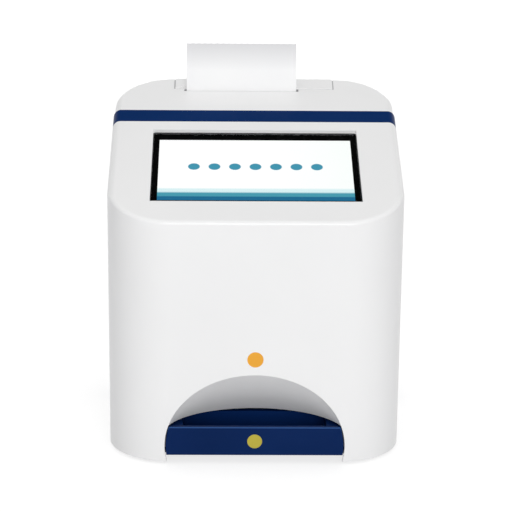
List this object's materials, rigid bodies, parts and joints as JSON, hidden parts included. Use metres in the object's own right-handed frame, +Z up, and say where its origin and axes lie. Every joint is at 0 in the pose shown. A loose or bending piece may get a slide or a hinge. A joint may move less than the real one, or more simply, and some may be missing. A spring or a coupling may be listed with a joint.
{
  "type": "rapid test reader",
  "caption": "Bench unit with a sloping touch display, an arched opening over a sliding test drawer, and a paper printer under a hinged lid at the back.",
  "frame": {"origin": "on the resting surface, under the middle of the case", "axes": "+Z up, +Y to the back, +X to the right seen from the front"},
  "size_m": [0.1432, 0.1272, 0.1818],
  "materials": {
    "shell_white": "moulded, satin to semi-gloss",
    "band_blue": "moulded, glossy navy blue",
    "drawer_blue": "moulded, semi-gloss navy blue",
    "dark_plastic": "moulded, fine texture",
    "rail_plastic": "self-lubricating plastic",
    "rubber": "soft black rubber",
    "steel": "zinc plated",
    "magnet": "nickel plated",
    "display_glass": "polished cover glass with a black border",
    "display_panel": "display module in a black can",
    "circuit_board": "green solder mask",
    "lens_glass": "coated lens",
    "lamp": "white light diode",
    "ceramic_head": "glazed heating line on a ceramic bar",
    "gear_plastic": "natural moulded plastic",
    "brass": "turned",
    "paper": "smooth coated thermal paper",
    "cardboard": "wound core",
    "aluminium": "extruded",
    "socket_metal": "nickel plated shell",
    "socket_plastic": "black moulded",
    "flat_cable": "flat flexible cable"
  },
  "bodies": {
    "root": {"front_cover": "shell_white", "seam_band": "band_blue", "rear_cover": "shell_white", "base_plate": "dark_plastic", "foot_front_left": "rubber", "foot_rear_left": "rubber", "foot_front_right": "rubber", "foot_rear_right": "rubber", "case_screws": "steel", "machine_screws": "steel", "touch_glass": "display_glass", "lcd_panel": "display_panel", "display_frame": "dark_plastic", "display_board": "circuit_board", "catch_plate": "steel", "drawer_rail_left": "rail_plastic", "drawer_rail_right": "rail_plastic", "optics_bridge": "steel", "optics_box": "dark_plastic", "camera_board": "circuit_board", "lens_barrel": "dark_plastic", "objective_lens": "lens_glass", "lamp_board_left": "circuit_board", "lamp_board_right": "circuit_board", "lamps": "lamp", "lid_hinge_pin": "steel", "printer_frame": "steel", "print_head": "ceramic_head", "tear_bar": "steel", "paper_bucket": "dark_plastic", "roll_spindle": "rail_plastic", "paper_strip": "paper", "idler_pin": "steel", "gear_bracket": "steel", "printer_motor": "steel", "main_board": "circuit_board", "usb_ports": "socket_metal", "data_port": "socket_plastic", "power_jack": "socket_plastic", "heat_sink": "aluminium", "buzzer": "socket_plastic", "switch_housing": "dark_plastic", "display_ribbon": "flat_cable", "printer_ribbon": "flat_cable"},
    "drawer": {"drawer_tray": "drawer_blue", "cassette_holder": "drawer_blue", "drawer_magnet": "magnet"},
    "lid": {"printer_lid": "shell_white", "platen_bush_left": "brass", "platen_bush_right": "brass"},
    "platen": {"platen_roller": "rubber", "platen_shaft": "steel", "platen_gear": "gear_plastic"},
    "roll": {"paper_roll": "paper", "roll_core": "cardboard"},
    "idler": {"idler_gear": "gear_plastic"},
    "pinion": {"motor_pinion": "gear_plastic"},
    "rocker": {"power_rocker": "dark_plastic"}
  },
  "joints": [
    {"name": "drawer_slide", "type": "slide", "parent": "root", "child": "drawer", "axis": [0, -1, 0], "range_m": [0, 0.056]},
    {"name": "lid_hinge", "type": "hinge", "parent": "root", "child": "lid", "pos_m": [0, 0.0601, 0.10798], "axis": [-1, 0, 0], "range_deg": [0, 90]},
    {"name": "roll_spin", "type": "hinge", "parent": "root", "child": "roll", "pos_m": [0, 0.0374, 0.12298], "axis": [1, 0, 0], "continuous": true},
    {"name": "platen_spin", "type": "hinge", "parent": "lid", "child": "platen", "pos_m": [0, 0.05545, 0.14598], "axis": [1, 0, 0], "continuous": true},
    {"name": "idler_spin", "type": "hinge", "parent": "root", "child": "idler", "pos_m": [0, 0.04435, 0.14598], "axis": [1, 0, 0], "continuous": true},
    {"name": "pinion_spin", "type": "hinge", "parent": "root", "child": "pinion", "pos_m": [0, 0.0372, 0.13884], "axis": [1, 0, 0], "continuous": true},
    {"name": "power_rocker_tip", "type": "hinge", "parent": "root", "child": "rocker", "pos_m": [-0.031, 0.0586, 0.0252], "axis": [-1, 0, 0], "range_deg": [0, 14]}
  ],
  "couplings": [
    {"joint": "platen_spin", "follows": "roll_spin", "ratio": -4.2857},
    {"joint": "idler_spin", "follows": "roll_spin", "ratio": 2.449},
    {"joint": "pinion_spin", "follows": "roll_spin", "ratio": -5.7143}
  ]
}
